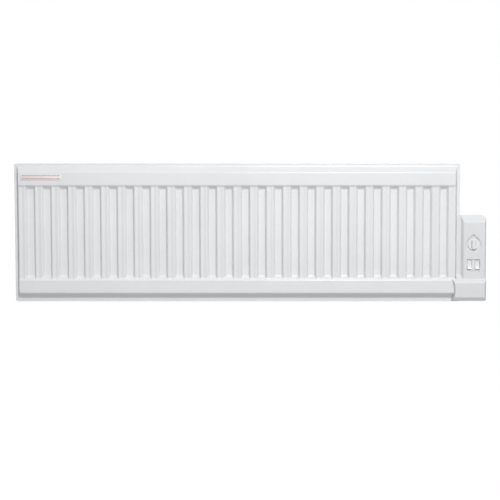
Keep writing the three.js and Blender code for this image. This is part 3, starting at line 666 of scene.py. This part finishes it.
# ---------------------------------------------------------------- CAD nodes that keep their shape
SLOT_OF = {entry["node"]: entry["material_slot"] for entry in frame["record"]["subparts"]}
EDGE_WIDTH = {"wall_bracket": 0.5, "hanger_strap": 0.4, "control_box_base": 0.6, "switch_housing": 0.3,
              "terminal_block": 0.4, "thermostat_body": 0.6, "cable_grommet": 0.5, "box_support_tab": 0.3}

for name, node in frame["nodes"].items():
    node.data.materials.clear()
    node.data.materials.append(MATERIALS[SLOT_OF[name]])
    width = next((w for start, w in EDGE_WIDTH.items() if name.startswith(start)), 0.15)
    merge = node.modifiers.new("weld", "WELD")
    merge.merge_threshold = 1e-6
    flat = node.modifiers.new("flat_faces", "DECIMATE")
    flat.decimate_type = "DISSOLVE"
    flat.angle_limit = math.radians(1.5)
    if not name.startswith("wire"):
        soften(node, width, 2, 40)

# ---------------------------------------------------------------- studio: floor, light, camera
CAMERA_DISTANCE = 2.3            # in front of the panel
CAMERA_X = 0.104
CAMERA_PITCH = 3.19              # degrees below the horizontal
CAMERA_HEIGHT = 0.088
FOCAL_PIXELS = 1039.3            # in the 500-pixel frame
FRAME_PIXELS = 500
SHIFT_X = -0.0701
FLOOR_Z = -1.2
SKY_LOW = 0.52                   # light from straight below and from straight above
SKY_HIGH = 0.75
SKY_SIDE = 0.3                  # share of it that comes from the far left
SKY_CENTRE = 0.2                 # sideways direction it is brightest in, towards the right


def studio():
    scene = bpy.context.scene
    scene.view_settings.view_transform = "Standard"
    world = bpy.data.worlds.new("studio")
    scene.world = world
    world.use_nodes = True
    tree = world.node_tree
    seen = tree.nodes["Background"]
    seen.inputs["Color"].default_value = (1, 1, 1, 1)
    seen.inputs["Strength"].default_value = 1.0
    lit = tree.nodes.new("ShaderNodeBackground")
    place = tree.nodes.new("ShaderNodeTexCoord")
    split = tree.nodes.new("ShaderNodeSeparateXYZ")
    tree.links.new(place.outputs["Generated"], split.inputs["Vector"])
    shifted = tree.nodes.new("ShaderNodeMath")
    shifted.operation = "SUBTRACT"
    shifted.inputs[1].default_value = SKY_CENTRE
    tree.links.new(split.outputs["X"], shifted.inputs[0])
    sideways = tree.nodes.new("ShaderNodeMath")
    sideways.operation = "ABSOLUTE"
    tree.links.new(shifted.outputs["Value"], sideways.inputs[0])
    shares = []
    for height, start, end, first, last in (
            (split.outputs["Z"], -1.0, 1.0, SKY_LOW, SKY_HIGH),
            (sideways.outputs["Value"], 0.0, 1 + SKY_CENTRE, 1.0, SKY_SIDE)):
        ramp = tree.nodes.new("ShaderNodeMapRange")
        ramp.inputs["From Min"].default_value = start
        ramp.inputs["From Max"].default_value = end
        ramp.inputs["To Min"].default_value = first
        ramp.inputs["To Max"].default_value = last
        tree.links.new(height, ramp.inputs["Value"])
        shares.append(ramp.outputs["Result"])
    sky = tree.nodes.new("ShaderNodeMath")
    sky.operation = "MULTIPLY"
    for share, socket in zip(shares, sky.inputs):
        tree.links.new(share, socket)
    tree.links.new(sky.outputs["Value"], lit.inputs["Strength"])
    lit.inputs["Color"].default_value = (0.975, 0.985, 1.0, 1)
    which = tree.nodes.new("ShaderNodeLightPath")
    mix = tree.nodes.new("ShaderNodeMixShader")
    tree.links.new(which.outputs["Is Camera Ray"], mix.inputs["Fac"])
    tree.links.new(lit.outputs["Background"], mix.inputs[1])
    tree.links.new(seen.outputs["Background"], mix.inputs[2])
    tree.links.new(mix.outputs["Shader"], tree.nodes["World Output"].inputs["Surface"])

    bpy.ops.mesh.primitive_plane_add(size=4, location=(0, 0, FLOOR_Z))
    floor = bpy.context.object
    floor.name = "floor"
    paint, floor_tree, shader = material("pale_floor")
    patches = noise(floor_tree, coordinates(floor_tree), 2.0)
    mottled = blend_colours(floor_tree, patches, (0.90, 0.90, 0.90), (0.93, 0.93, 0.93))
    floor_tree.links.new(mottled, shader.inputs["Base Color"])
    floor_tree.links.new(mottled, shader.inputs["Emission Color"])
    shader.inputs["Emission Strength"].default_value = 0.75
    shader.inputs["Roughness"].default_value = 0.9
    floor.data.materials.append(paint)
    floor.visible_diffuse = False
    floor.visible_glossy = False

    lamps = (("key", (0.4, -2.1, 1.1), 0.45, 36.0), ("top", (0.1, -0.6, 1.9), 1.0, 0.6))
    for name, place, size, power in lamps:
        lamp = bpy.data.lights.new(name, "AREA")
        lamp.size = size
        lamp.energy = power
        made = bpy.data.objects.new(name, lamp)
        made.location = place
        made.rotation_mode = "QUATERNION"
        made.rotation_quaternion = (Vector((0, 0, 0)) - Vector(place)).to_track_quat("-Z", "Y")
        scene.collection.objects.link(made)

    lens = bpy.data.cameras.new("camera")
    lens.sensor_width = 36.0
    lens.lens = 36.0 * FOCAL_PIXELS / FRAME_PIXELS
    lens.shift_x = SHIFT_X
    camera = bpy.data.objects.new("camera", lens)
    camera.location = (CAMERA_X, -CAMERA_DISTANCE, CAMERA_HEIGHT)
    camera.rotation_euler = (math.radians(90 - CAMERA_PITCH), 0, 0)
    scene.collection.objects.link(camera)
    scene.camera = camera


studio()
